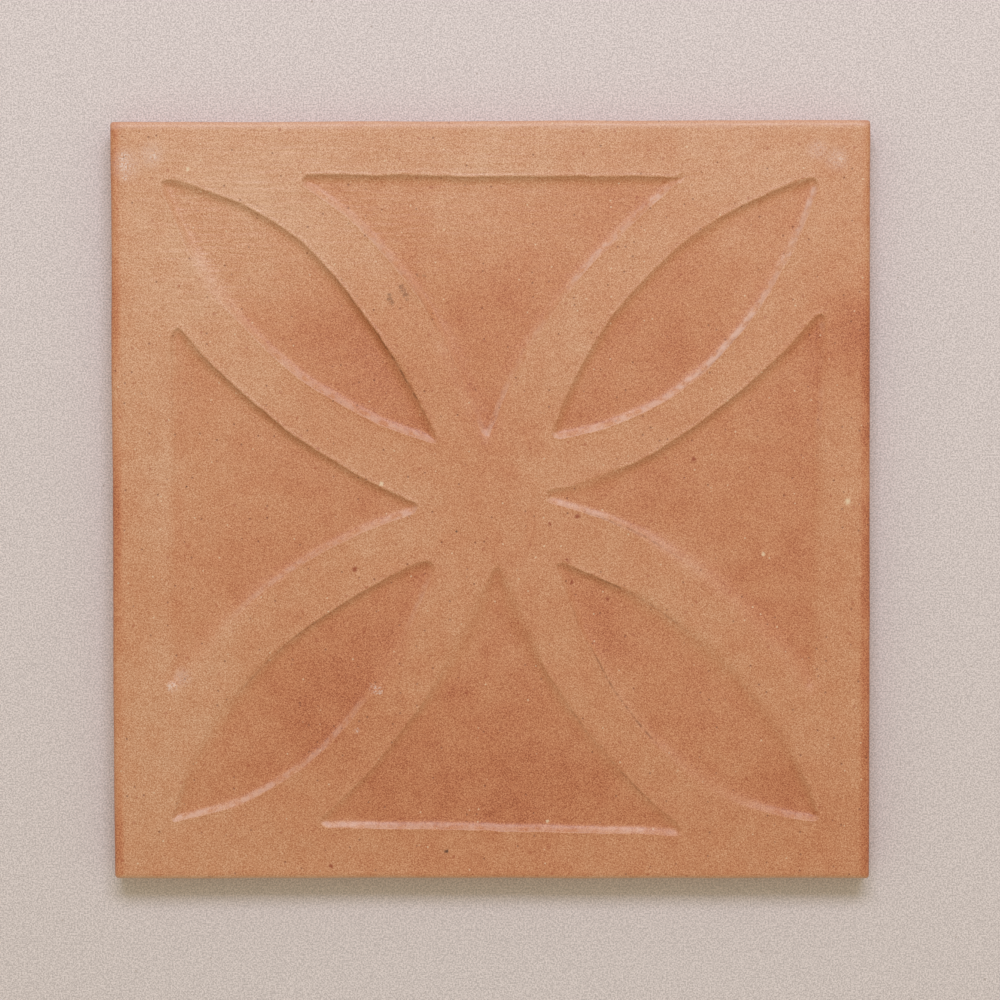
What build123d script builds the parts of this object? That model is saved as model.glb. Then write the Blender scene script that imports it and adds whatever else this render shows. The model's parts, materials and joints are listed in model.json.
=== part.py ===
from build123d import *

import os
from math import hypot, radians, sin, sqrt, tan

# Relief tile: one square of pressed and fired porcelain body, with a compass-drawn pattern of four
# petals and four wedges sunk into its face, and a keyed back. The origin is the centre of the back's
# land, +Z points out of the face, and +Y and +X are the way the pattern is read as up and right.
# All sizes are in millimetres, and all angles in degrees.

# Driving dimensions of the body
tile_side = 200.0  # edge to edge, both ways
tile_thickness = 10.0  # from the back's land to the top of the bands
corner_round = 0.9  # upright corners
cushion_round = 1.8  # soft edge between the face and the sides
arris_chamfer = 0.5  # small bevel between the sides and the back

# Driving dimensions of the drawn pattern
frame_width = 15.0  # from the tile's edge to the straight base of a wedge
tip_inset = 15.3  # from the tile's edges to the outer tip of a petal
crossing_reach = 16.3  # from the tile's centre lines to the inner tip of a petal
petal_tip_angle = 60.0  # between the two sides of a petal, where they meet
band_width = 15.5  # raised band between the middle of a petal's side and the wedge beside it
hub_reach = 14.8  # from the tile's centre to the apex of a wedge
corner_land = 37.0  # from the frame's inner corner to the base corner of a wedge

# Driving dimensions of a sunk field
relief_depth = 1.3  # from the top of the bands to the field's floor
wall_draft = 36.0  # lean of the field's wall from upright
tip_round = 1.0  # tips and corners, halfway down the wall
rim_round = 0.5  # where the wall turns into the band above it
floor_round = 0.9  # where the wall turns into the floor

# Driving dimensions of the keyed back
back_land = 10.0  # plain margin kept free round the back, at the least
key_pitch = 22.5  # from one square key pocket to the next
key_rib = 4.0  # land left between two pockets
key_depth = 0.8  # from the back's land to a pocket's floor
key_draft = 20.0  # lean of a pocket's wall from upright

# The pattern was cut by hand, so every field strays a little from the drawn one. Each entry is how
# far, in a frame turned with its field, where the field lies towards +Y (a wedge) or +X +Y (a petal).
# The entries run counter-clockwise from there.
# A petal's outer tip, its inner tip, the extra bow of its clockwise side and of its other side
petal_strays = (
    ((0.8, -0.7), (0.4, 0.7), 0.8, 0.3),
    ((-0.5, 1.3), (-0.1, -1.5), -0.3, -0.4),
    ((-0.8, -0.6), (-0.8, -0.1), -0.6, 1.6),
    ((-0.6, 1.4), (0.8, 2.0), 1.8, -1.6),
)
# A wedge's apex, its clockwise corner, its other corner, and the extra bow of the side to each
wedge_strays = (
    ((-1.3, 0.9), (1.8, -0.5), (-3.2, 0.2), -2.0, 0.0),
    ((-1.7, 3.2), (-2.0, -1.8), (-1.1, -0.6), -2.0, -1.2),
    ((-1.5, 3.4), (-2.6, 0.4), (-2.6, 2.5), -3.5, -2.4),
    ((-1.5, -2.7), (1.9, -0.2), (-2.4, 2.5), 0.6, 0.8),
)

# Worked out from the driving dimensions
half_side = tile_side / 2
base_line = half_side - frame_width
tip_reach = half_side - tip_inset
petal_length = sqrt(2) * (tip_reach - crossing_reach)
petal_radius = petal_length / 2 / sin(radians(petal_tip_angle / 2))
petal_middle = (tip_reach + crossing_reach) / 2
half_wall = relief_depth * tan(radians(wall_draft)) / 2
key_run = key_depth * tan(radians(key_draft))
drawn_outer_tip = (tip_reach, tip_reach)
drawn_inner_tip = (crossing_reach, crossing_reach)
drawn_apex = (0, hub_reach)
drawn_corner = (base_line - corner_land, base_line)


def strayed(point, stray):
    """A drawn point, moved to where it was cut."""
    return point[0] + stray[0], point[1] + stray[1]


def bow_of(radius, start, end):
    """How far an arc of this radius stands off its chord."""
    half_chord = hypot(end[0] - start[0], end[1] - start[1]) / 2
    return radius - sqrt(radius**2 - half_chord**2)


def compass_disc(start, end, bow, grow):
    """The disc whose edge runs from start to end, bowed to the left, made larger all round by grow."""
    length = hypot(end[0] - start[0], end[1] - start[1])
    radius = (length**2 / 4 + bow**2) / (2 * bow)
    chord = Plane(
        origin=((start[0] + end[0]) / 2, (start[1] + end[1]) / 2, 0),
        x_dir=(end[0] - start[0], end[1] - start[1], 0),
    )
    return chord * Pos(0, bow - radius) * Circle(radius + grow)


def petal_outline(stray, grow):
    """The petal towards +X +Y, where two discs overlap, made larger all round by grow."""
    outer_stray, inner_stray, clockwise_bow, other_bow = stray
    bow = bow_of(petal_radius, drawn_outer_tip, drawn_inner_tip)
    outer = strayed(drawn_outer_tip, outer_stray)
    inner = strayed(drawn_inner_tip, inner_stray)
    clockwise_disc = compass_disc(outer, inner, bow + clockwise_bow, grow)
    other_disc = compass_disc(inner, outer, bow + other_bow, grow)
    petal = clockwise_disc & other_disc
    return fillet(petal.vertices(), tip_round + grow)


def wedge_bow():
    """How far a wedge's side bows in, so that it passes one band's width from the petal's side."""
    across_band = (bow_of(petal_radius, drawn_outer_tip, drawn_inner_tip) + band_width) / sqrt(2)
    beside_petal = (petal_middle - across_band, petal_middle + across_band)
    side = ThreePointArc(drawn_apex, beside_petal, drawn_corner)
    return bow_of(side.radius, drawn_apex, drawn_corner)


def wedge_outline(stray, grow):
    """The wedge towards +Y: what two discs leave of a strip below its base, made larger by grow."""
    apex_stray, clockwise_stray, other_stray, clockwise_bow, other_bow = stray
    apex = strayed(drawn_apex, apex_stray)
    clockwise_corner = strayed(drawn_corner, clockwise_stray)
    other_corner = strayed((-drawn_corner[0], drawn_corner[1]), other_stray)
    base_x = clockwise_corner[0] - other_corner[0]
    base_y = clockwise_corner[1] - other_corner[1]
    base_middle = Plane(
        origin=(other_corner[0] + base_x / 2, other_corner[1] + base_y / 2, 0),
        x_dir=(base_x, base_y, 0),
    )
    strip = Rectangle(base_x + frame_width, base_line + hub_reach, align=(Align.CENTER, Align.MAX))
    bow = wedge_bow()
    clockwise_disc = compass_disc(apex, clockwise_corner, bow + clockwise_bow, -grow)
    other_disc = compass_disc(other_corner, apex, bow + other_bow, -grow)
    left_over = base_middle * Pos(0, grow) * strip - clockwise_disc - other_disc
    wedge = left_over.faces().sort_by(SortBy.AREA)[-1]
    return fillet(wedge.vertices(), tip_round + grow)


def field_cutter(outline, stray):
    """The solid to be cut away for one field, from its rim on z = 0 down to its floor."""
    rim = outline(stray, half_wall)
    floor = Pos(0, 0, -relief_depth) * outline(stray, -half_wall)
    cutter = loft([rim, floor], ruled=True)
    floor_edges = cutter.faces().sort_by(Axis.Z)[0].edges()
    return fillet(floor_edges, floor_round)


def key_cutter():
    """The solid to be cut away for one key pocket, from its mouth on z = 0 up to its floor."""
    mouth_side = key_pitch - key_rib
    floor_side = mouth_side - 2 * key_run
    mouth = Rectangle(mouth_side, mouth_side)
    floor = Pos(0, 0, key_depth) * Rectangle(floor_side, floor_side)
    return loft([mouth, floor], ruled=True)


def body_blank():
    """The plain square, with its upright corners and the arris of its back."""
    blank = Box(tile_side, tile_side, tile_thickness, align=(Align.CENTER, Align.CENTER, Align.MIN))
    blank = fillet(blank.edges().filter_by(Axis.Z), corner_round)
    back_edges = blank.faces().sort_by(Axis.Z)[0].edges()
    return chamfer(back_edges, arris_chamfer)


def field_cutters():
    """All eight fields, each turned to its own place in the face."""
    quarter_turn = 90
    cutters = []
    for outline, strays in ((petal_outline, petal_strays), (wedge_outline, wedge_strays)):
        for turns, stray in enumerate(strays):
            place = Pos(0, 0, tile_thickness) * Rot(0, 0, turns * quarter_turn)
            cutters.append(place * field_cutter(outline, stray))
    return cutters


def key_cutters():
    """The grid of key pockets, an even number each way, so that two ribs cross in the middle."""
    across = 2 * int((half_side - back_land) // key_pitch)
    return GridLocations(key_pitch, key_pitch, across, across) * key_cutter()


def tile_body():
    """The finished tile as one solid."""
    body = body_blank() - field_cutters() - key_cutters()
    face = body.faces().sort_by(Axis.Z)[-1]
    rim_edges = [edge for wire in face.inner_wires() for edge in wire.edges()]
    body = fillet(rim_edges, rim_round)
    face = body.faces().sort_by(Axis.Z)[-1]
    return fillet(face.outer_wire().edges(), cushion_round)


os.makedirs("parts", exist_ok=True)
tile = tile_body()
tile.label = "tile_body"
export_step(tile, "parts/tile_body.step")
print("tile_body", tile.bounding_box(), round(tile.volume), "mm3")
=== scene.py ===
# %% [markdown]
# This lesson finishes a square relief tile. The real one is a single slab of clay: it is pressed into
# a mould that gives it four petals and four wedges, sunk a little below the bands between them, and
# then it is fired once, without a glaze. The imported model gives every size. What is added here is what
# a mould, a kiln and years of use do to it: soft and crisp walls, a wavy face, warm and pale clouds.
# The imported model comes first, because every later size is measured on it.

import json
import math

import bmesh
import bpy
import numpy as np
from mathutils import Euler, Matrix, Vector, noise
from mathutils.geometry import delaunay_2d_cdt
from mathutils.kdtree import KDTree

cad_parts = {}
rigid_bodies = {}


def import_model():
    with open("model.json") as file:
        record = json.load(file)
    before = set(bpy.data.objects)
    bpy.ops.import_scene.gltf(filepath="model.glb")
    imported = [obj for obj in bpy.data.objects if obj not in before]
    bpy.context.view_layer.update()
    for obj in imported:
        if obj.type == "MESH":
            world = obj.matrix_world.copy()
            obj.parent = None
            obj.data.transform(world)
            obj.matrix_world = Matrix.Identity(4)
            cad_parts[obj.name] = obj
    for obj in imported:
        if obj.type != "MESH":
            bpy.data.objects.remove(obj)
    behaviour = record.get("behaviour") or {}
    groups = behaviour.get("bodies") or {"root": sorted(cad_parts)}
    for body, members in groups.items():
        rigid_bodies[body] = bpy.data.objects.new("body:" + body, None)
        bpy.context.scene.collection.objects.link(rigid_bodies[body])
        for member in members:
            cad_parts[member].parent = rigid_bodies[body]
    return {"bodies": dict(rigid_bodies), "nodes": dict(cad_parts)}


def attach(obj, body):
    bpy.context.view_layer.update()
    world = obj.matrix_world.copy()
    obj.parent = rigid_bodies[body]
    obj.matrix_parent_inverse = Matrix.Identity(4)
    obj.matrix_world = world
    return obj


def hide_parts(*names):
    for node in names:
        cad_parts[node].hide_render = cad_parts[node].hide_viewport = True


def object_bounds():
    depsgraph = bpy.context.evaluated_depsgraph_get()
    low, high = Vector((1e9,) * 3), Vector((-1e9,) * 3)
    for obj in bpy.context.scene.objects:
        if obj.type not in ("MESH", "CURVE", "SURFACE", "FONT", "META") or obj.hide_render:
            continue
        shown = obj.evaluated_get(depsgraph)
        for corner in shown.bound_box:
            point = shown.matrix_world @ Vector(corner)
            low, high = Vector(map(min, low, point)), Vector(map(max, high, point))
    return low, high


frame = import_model()
own = set(frame["bodies"].values()) | set(frame["nodes"].values())
for thing in list(bpy.data.objects):
    if thing not in own:
        bpy.data.objects.remove(thing)
cad_low, cad_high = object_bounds()
MM = 0.001
print("The packed tile measures", [round(size / MM, 2) for size in cad_high - cad_low], "mm")

# %% [markdown]
# A pressed tile has four level surfaces: the bed that goes into the adhesive, the floor of the key
# pockets in the back, the floor of the sunk fields, and the land, which is the top of the bands. We
# could type their heights in, but then they would no longer follow the model. So we add up the area
# of the level faces at each height, and keep the four heights where there is plenty of it.

# %% Measure the level surfaces
LEAST_LEVEL_AREA = 1000 * MM * MM
LEVEL_NORMAL = 0.9999
LEVEL_SLACK = 0.01 * MM


def level_heights(mesh):
    """The heights at which the mesh has a large level surface, lowest first."""
    areas = {}
    for face in mesh.polygons:
        if abs(face.normal.z) > LEVEL_NORMAL:
            height = round(face.center.z / MM, 3)
            areas[height] = areas.get(height, 0) + face.area
    return sorted(height * MM for height, area in areas.items() if area > LEAST_LEVEL_AREA)


cad_mesh = frame["nodes"]["tile_body"].data
bed, key_floor, field_floor, land = level_heights(cad_mesh)
relief_depth = land - field_floor
key_depth = key_floor - bed
half_side = cad_high.x
print("Relief depth", round(relief_depth / MM, 2), "mm, key depth", round(key_depth / MM, 2), "mm")

# %% [markdown]
# The outlines of the fields come from a slice through the model, halfway down their walls. The slice
# leaves loose edges, and we walk along them from point to point until each loop closes.

# %% Slice the model
def slice_outlines(mesh, height):
    """The closed outlines of the solid at one height: for each one, its (x, y) points in order."""
    cut = bmesh.new()
    cut.from_mesh(mesh)
    bmesh.ops.remove_doubles(cut, verts=cut.verts, dist=0.001 * MM)
    everything = cut.verts[:] + cut.edges[:] + cut.faces[:]
    bmesh.ops.bisect_plane(
        cut, geom=everything, plane_co=(0, 0, height), plane_no=(0, 0, 1),
        clear_inner=True, clear_outer=True,
    )
    for vert in cut.verts:
        vert.tag = False
    outlines = []
    for start in cut.verts:
        if start.tag:
            continue
        loop = []
        point = start
        while point:
            point.tag = True
            loop.append(point.co.xy[:])
            beside = [edge.other_vert(point) for edge in point.link_edges]
            point = next((vert for vert in beside if not vert.tag), None)
        outlines.append(np.array(loop))
    cut.free()
    return outlines


def signed_area(points):
    """The area inside a closed outline, above zero if it runs counter-clockwise."""
    ahead = np.roll(points, -1, axis=0)
    return 0.5 * np.sum(points[:, 0] * ahead[:, 1] - points[:, 1] * ahead[:, 0])


def largest_left_out(outlines):
    """All outlines but the largest, which is the tile's own edge."""
    return sorted(outlines, key=lambda points: abs(signed_area(points)))[:-1]


field_slices = largest_left_out(slice_outlines(cad_mesh, (land + field_floor) / 2))
key_slices = largest_left_out(slice_outlines(cad_mesh, (bed + key_floor) / 2))
print(len(field_slices), "fields in the face and", len(key_slices), "key pockets in the back")

# %% [markdown]
# The model draws an arc as short straight runs. Cutting every corner at a quarter of its two runs,
# a few times over, turns such a line into a smooth curve that touches the same runs. The model also
# rounds each tip, where the real mould was cut to a point with a knife. So we take a tip's rounding
# away and draw its two sides on to where they meet. Then we space the points anew: far apart on the
# long sides, close together near a tip, and with one point on the tip itself.

# %% Smooth, sharpen and space an outline
CORNER_CUTS = 4
LEAST_TURN = math.radians(0.3)
SHARPEST_SIDE = 8 * MM
TIP_TURN = math.radians(30)
SIDE_SPACING = 0.9 * MM
TIP_CROWDING = 2.0 * MM
FINE_STEPS = 4000


def turns_of(points):
    """How far a closed outline turns at each of its points, in radians."""
    ahead = np.roll(points, -1, axis=0) - points
    heading = np.arctan2(ahead[:, 1], ahead[:, 0])
    turn = heading - np.roll(heading, 1)
    return (turn + np.pi) % (2 * np.pi) - np.pi


def smooth_outline(points):
    """The same outline, counter-clockwise, without its facets."""
    if signed_area(points) < 0:
        points = points[::-1]
    points = points[np.abs(turns_of(points)) > LEAST_TURN]
    for _ in range(CORNER_CUTS):
        ahead = np.roll(points, -1, axis=0)
        pair = np.stack((0.75 * points + 0.25 * ahead, 0.25 * points + 0.75 * ahead), axis=1)
        points = pair.reshape(-1, 2)
    return points


def meeting_point(start, heading, other_start, other_heading):
    """Where two straight lines in the plane meet."""
    along = np.linalg.solve(np.column_stack((heading, -other_heading)), other_start - start)[0]
    return start + along * heading


def sharp_outline(points):
    """The outline with every rounded tip drawn out to the point where its two sides meet."""
    run = np.linalg.norm(np.roll(points, -1, axis=0) - points, axis=1)
    beside = (run + np.roll(run, 1)) / 2
    on_side = np.abs(turns_of(points)) < beside / SHARPEST_SIDE
    first_of_side = np.flatnonzero(on_side & ~np.roll(on_side, 1))[0]
    points = np.roll(points, -first_of_side, axis=0)
    on_side = np.roll(on_side, -first_of_side)
    starts = np.flatnonzero(on_side & ~np.roll(on_side, 1))
    ends = np.flatnonzero(on_side & ~np.roll(on_side, -1))
    sharpened = []
    for number, end in enumerate(ends):
        sharpened += list(points[starts[number]:end + 1])
        after = starts[(number + 1) % len(starts)]
        heading = points[end] - points[end - 1]
        next_heading = points[after + 1] - points[after]
        sharpened.append(meeting_point(points[end], heading, points[after], next_heading))
    return np.array(sharpened)


def spaced_outline(points):
    """The outline with points a side spacing apart, closer near a tip, and one on each tip."""
    closed = np.vstack((points, points[:1]))
    run = np.linalg.norm(np.diff(closed, axis=0), axis=1)
    travelled = np.concatenate(([0], np.cumsum(run)))
    tips = travelled[:-1][np.abs(turns_of(points)) > TIP_TURN]
    fine = np.linspace(0, travelled[-1], FINE_STEPS)
    to_tip = np.abs(fine[:, None] - np.concatenate((tips - travelled[-1], tips, tips + travelled[-1])))
    density = 1 + np.exp(-to_tip.min(axis=1) / TIP_CROWDING)
    counted = np.concatenate(([0], np.cumsum(density[:-1] * np.diff(fine))))
    stops = np.linspace(0, counted[-1], round(counted[-1] / SIDE_SPACING), endpoint=False)
    stops = np.interp(stops, counted, fine)
    for tip in tips:
        stops[np.argmin(np.abs(stops - tip))] = tip
    return np.column_stack([np.interp(stops, travelled, closed[:, axis]) for axis in (0, 1)])


drawn_fields = [spaced_outline(sharp_outline(smooth_outline(points))) for points in field_slices]
print("Points round the fields:", [len(points) for points in drawn_fields])

# %% [markdown]
# The mould was cut by hand, so most sides stray from the drawn ones. A side may bow further out in
# its middle, and it may lean: further out in its inner half, and further in in its outer half. Both
# are half a wave or a whole wave of a sine along the side, so its ends stay where they are. A field
# is named by its kind and its quarter. The petals count counter-clockwise from the upper right one,
# and the wedges from the top one. Seen from the tile's centre, each field has a clockwise side and an
# anticlockwise side. On top of that, every line wobbles a little.

# %% Let the sides stray and wobble as a hand cuts them
SIDE_STRAYS = {
    ("petal", 0, "clockwise"): (0.9, 0.9), ("petal", 0, "anticlockwise"): (-1.0, -0.2),
    ("petal", 1, "clockwise"): (-0.3, -1.5), ("petal", 2, "clockwise"): (-0.9, -0.6),
    ("petal", 2, "anticlockwise"): (-0.6, -1.0), ("petal", 3, "clockwise"): (-0.1, -1.0),
    ("wedge", 0, "clockwise"): (-0.5, -0.4), ("wedge", 0, "anticlockwise"): (0.0, 0.6),
    ("wedge", 1, "clockwise"): (1.6, -0.2), ("wedge", 3, "anticlockwise"): (0.9, -0.8),
}
WOBBLES = ((11 * MM, 0.36 * MM), (3.5 * MM, 0.18 * MM))


def name_of(points):
    """Whether a field is a petal or a wedge, and in which quarter it lies."""
    middle = points.mean(axis=0)
    eighths = round(math.degrees(math.atan2(middle[1], middle[0])) / 45) % 8
    kind = "petal" if eighths % 2 else "wedge"
    quarter = (eighths // 2) % 4 if kind == "petal" else (eighths // 2 - 1) % 4
    return kind, quarter


def hand_cut(points):
    """The outline with its strayed sides and its wobble."""
    kind, quarter = name_of(points)
    along_angle = math.radians(90 * quarter + (45 if kind == "petal" else 90))
    along = np.array((math.cos(along_angle), math.sin(along_angle)))
    clockwise = np.array((along[1], -along[0]))
    reach = points @ along
    share = (reach - reach.min()) / np.ptp(reach)
    sideways = points @ clockwise
    moved = points.copy()
    for side, sign in (("clockwise", 1), ("anticlockwise", -1)):
        bow, lean = SIDE_STRAYS.get((kind, quarter, side), (0.0, 0.0))
        push = (bow * np.sin(np.pi * share) + lean * np.sin(2 * np.pi * share)) * MM
        on_side = sign * sideways > 0
        moved += (push * on_side)[:, None] * sign * clockwise
    wobble = [
        sum(amount * noise.noise(Vector((x, y, 0)) / length) for length, amount in WOBBLES)
        for x, y in points
    ]
    return moved + np.array(wobble)[:, None] * inward_normals(points)


def inward_normals(points):
    """At each point of a counter-clockwise outline, the unit direction towards its inside."""
    along = np.roll(points, -1, axis=0) - np.roll(points, 1, axis=0)
    along /= np.linalg.norm(along, axis=1)[:, None]
    return np.column_stack((-along[:, 1], along[:, 0]))


field_outlines = [hand_cut(points) for points in drawn_fields]
print("Fields:", sorted(name_of(points) for points in field_outlines))

# %% [markdown]
# The blank is the slab before it is pressed: flat on both faces, with a soft cushion edge. We make
# one closed mesh of it. Each face is a sheet of points, dense along the outlines, where the walls
# will be, and evenly spread elsewhere. A Delaunay triangulation joins such points into well-shaped
# triangles. The edge is a stack of rounded squares, one below the other.

# %% Draw rounded squares
RING_SIDE_RUNS = 150
RING_CORNER_RUNS = 8


def rounded_square(half, radius, side_runs, corner_runs):
    """A counter-clockwise rounded square about the origin."""
    straight = np.linspace(radius - half, half - radius, side_runs, endpoint=False)
    side = np.column_stack((np.full(side_runs, half), straight))
    angles = np.linspace(0, np.pi / 2, corner_runs, endpoint=False)
    corner = half - radius + radius * np.column_stack((np.cos(angles), np.sin(angles)))
    quarter = np.vstack((side, corner))
    quarters = [quarter]
    for _ in range(3):
        last = quarters[-1]
        quarters.append(np.column_stack((-last[:, 1], last[:, 0])))
    return np.vstack(quarters)


CORNER_ROUND = 0.9 * MM
CORNER_GROWTH = 0.35


def ring_at(inset):
    """The tile's outline, set in from its edge by this much."""
    radius = CORNER_ROUND + CORNER_GROWTH * inset
    return rounded_square(half_side - inset, radius, RING_SIDE_RUNS, RING_CORNER_RUNS)


print("Points round the edge:", len(ring_at(0)))

# %% [markdown]
# The key pockets in the back repeat on a grid. A small Geometry Nodes tree sets copies of one flat
# pocket on the points of a mesh grid. Node code is long when it is written out, so a helper adds a
# node, sets it up, and links or fills in its sockets. The material and the light use it too.

# %% Write nodes in single calls
class NodeWriter:
    """Writes the nodes of one tree, one call for each node."""

    def __init__(self, tree):
        self.tree = tree

    def add(self, kind, inputs=None, **settings):
        """A new node, with its settings, and with its inputs linked or filled in."""
        node = self.tree.nodes.new(kind)
        for name, value in settings.items():
            setattr(node, name, value)
        for name, value in (inputs or {}).items():
            if isinstance(value, bpy.types.NodeSocket):
                self.tree.links.new(value, node.inputs[name])
            else:
                node.inputs[name].default_value = value
        return node

    def math(self, operation, first, *others):
        """The values joined one after the other by the same Math operation."""
        for other in others:
            first = self.add("ShaderNodeMath", {0: first, 1: other}, operation=operation).outputs[0]
        return first

    def plus(self, *values):
        """The sum of the values."""
        return self.math("ADD", *values)

    def minus(self, value, other):
        """The value less the other."""
        return self.math("SUBTRACT", value, other)

    def times(self, *values):
        """The product of the values."""
        return self.math("MULTIPLY", *values)

    def absolute(self, value):
        """The value without its sign."""
        return self.add("ShaderNodeMath", {0: value}, operation="ABSOLUTE").outputs[0]

    def clamp(self, value):
        """The value, held between 0 and 1."""
        return self.math("MINIMUM", self.math("MAXIMUM", value, 0.0), 1.0)

    def vector(self, operation, *values):
        """The result of a Vector Math node."""
        made = self.add("ShaderNodeVectorMath", dict(enumerate(values)), operation=operation)
        return made.outputs[0]

    def alike(self, value):
        """A vector with this value on all three axes."""
        return self.add("ShaderNodeCombineXYZ", {n: value for n in range(3)}).outputs[0]

    def ramp(self, value, low, high, low_result=0.0, high_result=1.0):
        """The value carried smoothly from one range to another, and held at its ends."""
        inputs = {0: value, 1: low, 2: high, 3: low_result, 4: high_result}
        return self.add("ShaderNodeMapRange", inputs, interpolation_type="SMOOTHSTEP").outputs[0]

    def place_in_mm(self):
        """The place on the object, in millimetres."""
        place = self.add("ShaderNodeTexCoord").outputs["Object"]
        return self.vector("MULTIPLY", place, (1 / MM, 1 / MM, 1 / MM))

    def clouds(self, place, size, detail=2.0, output="Fac"):
        """A noise between 0 and 1 whose features are about this large."""
        inputs = {"Vector": place, "Scale": 1 / size, "Detail": detail}
        return self.add("ShaderNodeTexNoise", inputs).outputs[output]


def empty_nodes(owner):
    """A writer for the emptied node tree of a material or a world."""
    owner.use_nodes = True
    owner.node_tree.nodes.clear()
    return NodeWriter(owner.node_tree)


fired_clay = bpy.data.materials.new("fired_clay")
clay = empty_nodes(fired_clay)
print("The material", fired_clay.name, "is ready to be filled in")

# %% [markdown]
# Every tree for shapes begins with named inputs for its sizes. It ends in Realize Instances, because
# an instance is only a promise of a shape, and in Set Material. To run it, we put it on the piece as
# a modifier, take the evaluated shape as a plain mesh, and take the modifier off again.

# %% Begin, end and run a Geometry Nodes tree
def new_geometry_tree(name, sockets):
    """A Geometry Nodes tree with these named inputs, its writer and its Group Input node."""
    tree = bpy.data.node_groups.new(name, "GeometryNodeTree")
    tree.interface.new_socket("Geometry", in_out="INPUT", socket_type="NodeSocketGeometry")
    tree.interface.new_socket("Geometry", in_out="OUTPUT", socket_type="NodeSocketGeometry")
    for label, kind in sockets.items():
        tree.interface.new_socket(label, in_out="INPUT", socket_type="NodeSocket" + kind)
    writer = NodeWriter(tree)
    return tree, writer, writer.add("NodeGroupInput").outputs


def end_geometry_tree(writer, geometry, material):
    """Ends a tree as every tree here ends: real instances, the material, the output."""
    real = writer.add("GeometryNodeRealizeInstances", {"Geometry": geometry})
    inputs = {"Geometry": real.outputs[0], "Material": material}
    finished = writer.add("GeometryNodeSetMaterial", inputs)
    writer.add("NodeGroupOutput", {0: finished.outputs[0]})


def run_tree(piece, tree, values):
    """Runs a tree on a piece with these inputs, and keeps the result as the piece's plain mesh."""
    modifier = piece.modifiers.new(tree.name, "NODES")
    modifier.node_group = tree
    for item in tree.interface.items_tree:
        if item.in_out == "INPUT" and item.name in values:
            modifier[item.identifier] = values[item.name]
    graph = bpy.context.evaluated_depsgraph_get()
    result = bpy.data.meshes.new_from_object(
        piece.evaluated_get(graph), preserve_all_data_layers=True, depsgraph=graph
    )
    piece.modifiers.remove(modifier)
    piece.data = result
    print(tree.name, "gives", len(result.vertices), "points")


print("Trees begin, end and run in one call each")

# %% Draw one flat pocket
POCKET_ROUND = 1.2 * MM
POCKET_SIDE_RUNS = 8
POCKET_CORNER_RUNS = 3


def new_object(name, data):
    """A new object with this data, linked to the scene."""
    thing = bpy.data.objects.new(name, data)
    bpy.context.scene.collection.objects.link(thing)
    return thing


def flat_mesh_object(name, outlines):
    """An object in the scene with one flat face inside each outline."""
    mesh = bpy.data.meshes.new(name)
    corners = np.vstack(outlines)
    starts = np.cumsum([0] + [len(points) for points in outlines])
    faces = [tuple(range(low, high)) for low, high in zip(starts, starts[1:])]
    mesh.from_pydata([(x, y, 0) for x, y in corners], [], faces)
    return new_object(name, mesh)


pocket_middles = np.array([points.mean(axis=0) for points in key_slices])
pockets_across = round(math.sqrt(len(key_slices)))
pocket_pitch = np.ptp(pocket_middles[:, 0]) / (pockets_across - 1)
pocket_half = np.ptp(key_slices[0][:, 0]) / 2
pocket_outline = rounded_square(pocket_half, POCKET_ROUND, POCKET_SIDE_RUNS, POCKET_CORNER_RUNS)
flat_pocket = flat_mesh_object("flat_pocket", [pocket_outline])
print(pockets_across, "pockets across,", round(pocket_pitch / MM, 2), "mm apart")

# %% Repeat the pocket on a grid
grid_tree, grid, given = new_geometry_tree(
    "pocket_grid", {"Pocket": "Object", "Count": "Int", "Pitch": "Float", "Material": "Material"}
)
grid_span = grid.times(grid.minus(given["Count"], 1.0), given["Pitch"])
grid_points = grid.add("GeometryNodeMeshGrid", {
    "Size X": grid_span, "Size Y": grid_span,
    "Vertices X": given["Count"], "Vertices Y": given["Count"],
})
one_pocket = grid.add("GeometryNodeObjectInfo", {"Object": given["Pocket"]})
copies = grid.add("GeometryNodeInstanceOnPoints", {
    "Points": grid_points.outputs["Mesh"], "Instance": one_pocket.outputs["Geometry"],
})
end_geometry_tree(grid, copies.outputs[0], given["Material"])

key_pockets = flat_mesh_object("key_pockets", [pocket_outline])
run_tree(key_pockets, grid_tree, {
    "Pocket": flat_pocket, "Count": pockets_across, "Pitch": pocket_pitch, "Material": fired_clay,
})
pocket_points = np.array([vert.co.xy for vert in key_pockets.data.vertices])
pocket_outlines = [pocket_points[list(face.vertices)] for face in key_pockets.data.polygons]
print("Flat pockets on the grid:", len(pocket_outlines))

# %% [markdown]
# Now the sheets. Rows of points run beside each outline, closest together at the rim of the wall,
# where the shape turns most. Near a tip the rows of its two sides would cross, so a point that has
# come too near to another outline point than its own is left out. A grid fills the rest, and stays
# clear of the rows and of the edge. The tree that looks up the nearest outline point is a k-d tree,
# which finds it without measuring the way to all the others.

# %% Spread the points of a sheet
FIELD_ROWS = np.array((-1.8, -1.4, -1.1, -0.9, -0.77, -0.64, -0.48, -0.2, 0.2, 0.65, 1.1, 1.65)) * MM
POCKET_ROWS = np.array((-0.55, -0.3, -0.1, 0.25, 0.65)) * MM
FRONT_PITCH = 1.4 * MM
BACK_PITCH = 2.8 * MM
SHEET_INSET = 2.3 * MM
NEAREST_SHARE = 0.85
LEAST_GAP = 0.1 * MM


def lookup_of(outlines):
    """A k-d tree of all the points of these outlines."""
    fence = np.vstack(outlines)
    lookup = KDTree(len(fence))
    for number, (x, y) in enumerate(fence):
        lookup.insert((x, y, 0), number)
    lookup.balance()
    return lookup


def farther_than(lookup, points, clearance):
    """Those of the points that lie farther than the clearance from every point of the lookup."""
    return np.array([(x, y) for x, y in points if lookup.find((x, y, 0))[2] > clearance])


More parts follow.
